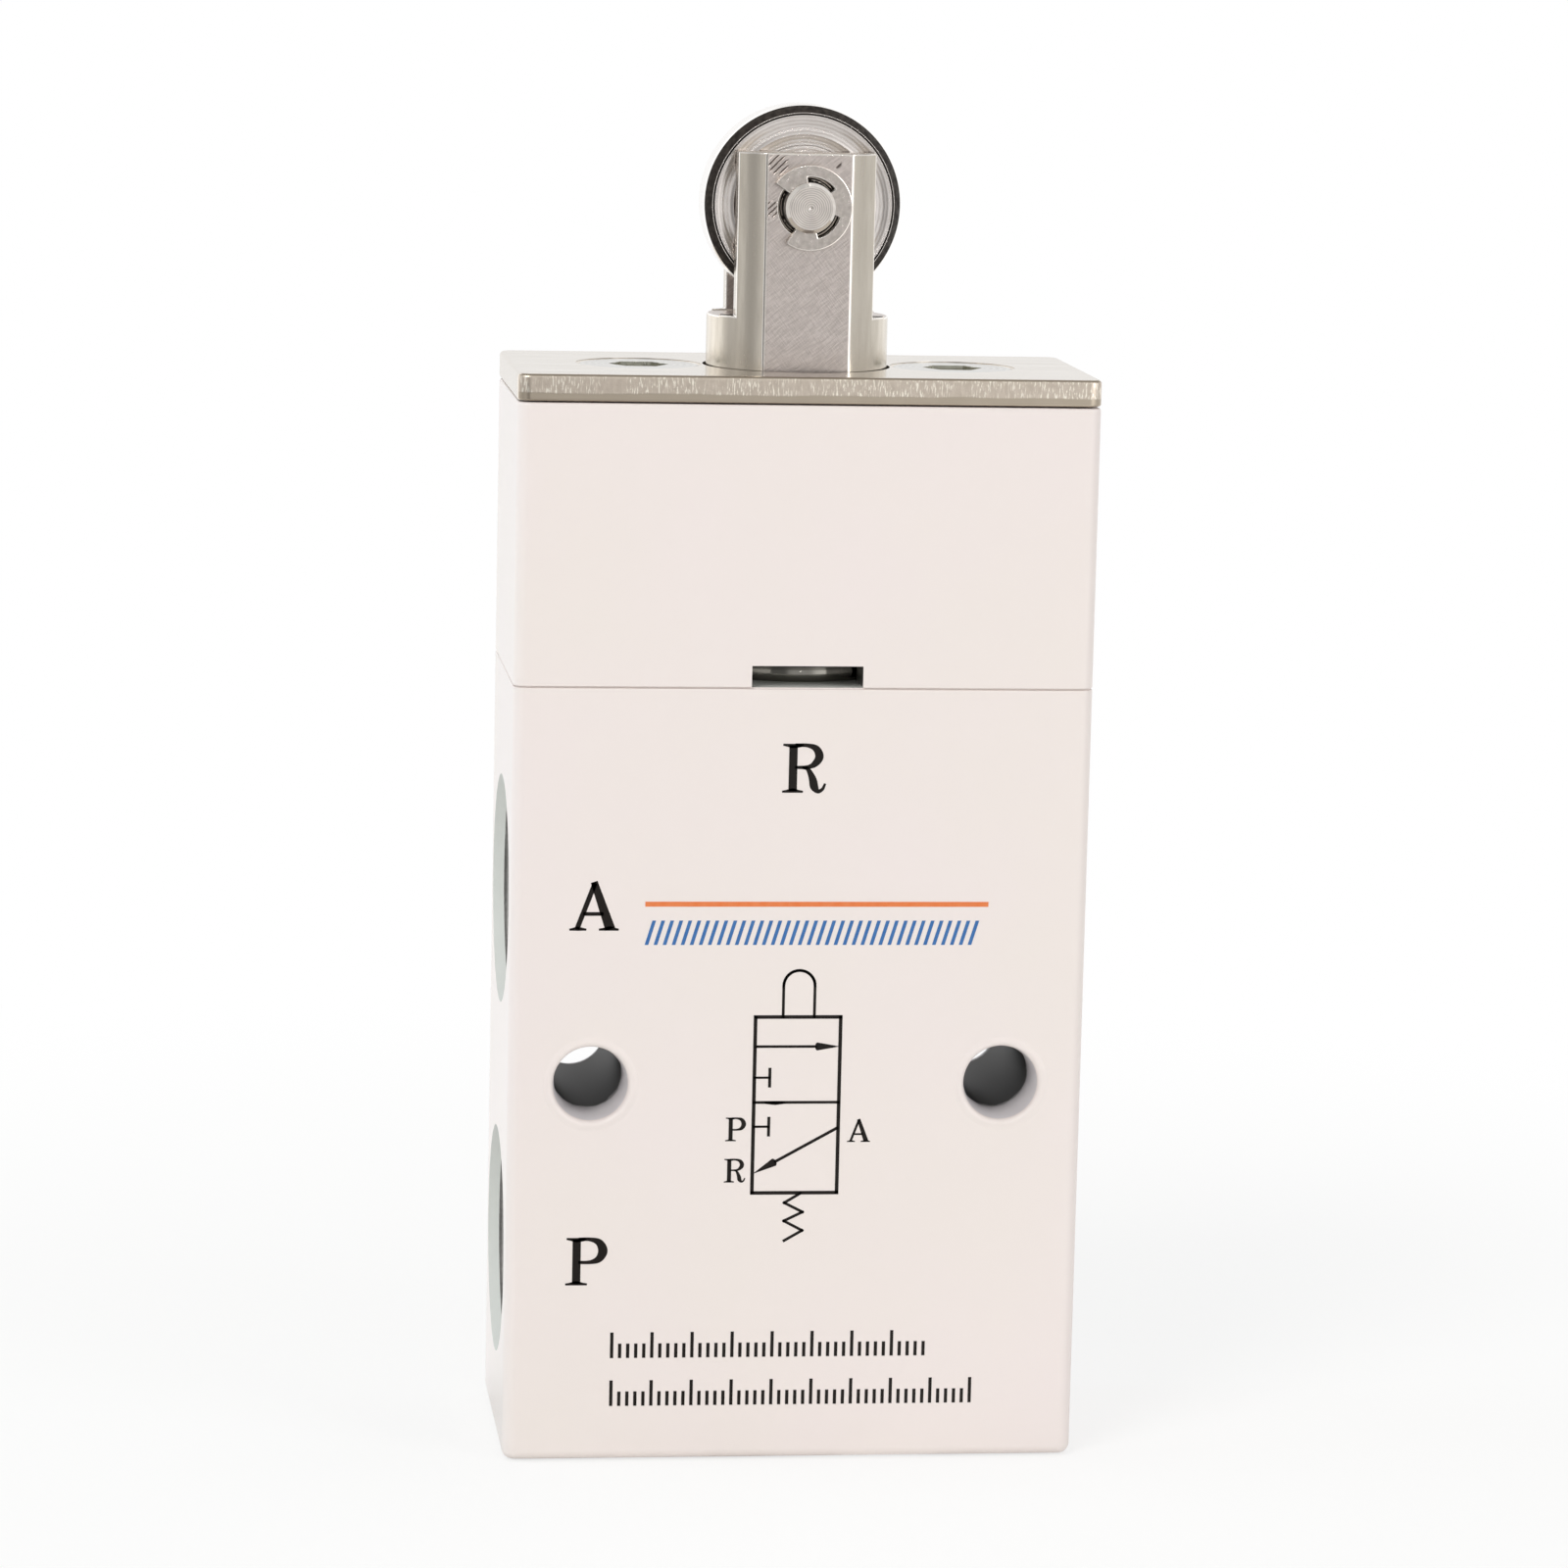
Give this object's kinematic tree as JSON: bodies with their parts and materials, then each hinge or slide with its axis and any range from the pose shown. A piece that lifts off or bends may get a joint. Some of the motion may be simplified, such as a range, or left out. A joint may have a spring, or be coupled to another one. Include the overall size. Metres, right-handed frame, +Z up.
{
  "type": "roller plunger air valve",
  "caption": "Block-shaped mechanical air valve. A roller fork on a sprung plunger pushes a poppet open between the supply and outlet ports in its side.",
  "frame": {"origin": "centre of the block's bottom face", "axes": "+Z up along the plunger, towards the roller; the printed front looks along -Y; the two ports look along -X"},
  "size_m": [0.035, 0.017, 0.082],
  "materials": {
    "cream_paint": "satin enamel on a cast and milled light alloy block",
    "nickel_plate": "warm nickel plate over milled steel",
    "zinc_plate": "bright zinc plated screws",
    "polished_nickel": "polished turned bush",
    "turned_steel": "fine turned steel",
    "clip_steel": "stamped spring steel",
    "spring_steel": "drawn spring wire",
    "brass": "machined brass",
    "sintered_bronze": "oil filled sintered bronze",
    "black_rubber": "matt nitrile rubber",
    "bare_alloy": "tapped threads of the two ports, bare",
    "black_ink": "printed letters, symbol and scales",
    "orange_ink": "printed stripe",
    "blue_ink": "printed hatch"
  },
  "bodies": {
    "valve": {"valve_body": "cream_paint", "upper_housing": "cream_paint", "top_plate": "nickel_plate", "plate_screw_left": "zinc_plate", "plate_screw_right": "zinc_plate", "guide_bush": "polished_nickel", "guide_o_ring": "black_rubber", "stem_o_ring": "black_rubber", "stem_spring": "spring_steel", "bottom_plug": "brass", "plug_o_ring": "black_rubber", "circlip": "spring_steel", "poppet_spring": "spring_steel"},
    "plunger": {"roller_fork": "nickel_plate", "roller_pin": "turned_steel", "clip_front": "clip_steel", "clip_rear": "clip_steel", "plunger_stem": "turned_steel"},
    "roller": {"roller": "turned_steel", "roller_bush": "sintered_bronze"},
    "poppet": {"poppet": "brass", "poppet_seal": "black_rubber"}
  },
  "joints": [
    {"name": "plunger_slide", "type": "slide", "parent": "valve", "child": "plunger", "axis": [0, 0, -1], "range_m": [0, 0.003], "stiffness_N_per_m": 3000, "springref_m": -0.003, "deforming": ["stem_spring"]},
    {"name": "roller_spin", "type": "hinge", "parent": "plunger", "child": "roller", "pos_m": [0, 0, 0.076], "axis": [0, -1, 0], "continuous": true},
    {"name": "poppet_slide", "type": "slide", "parent": "valve", "child": "poppet", "axis": [0, 0, -1], "range_m": [0, 0.0022], "stiffness_N_per_m": 600, "springref_m": -0.003, "deforming": ["poppet_spring"]}
  ],
  "couplings": [
    {"joint": "poppet_slide", "follows": "plunger_slide", "ratio": 0.7333}
  ]
}
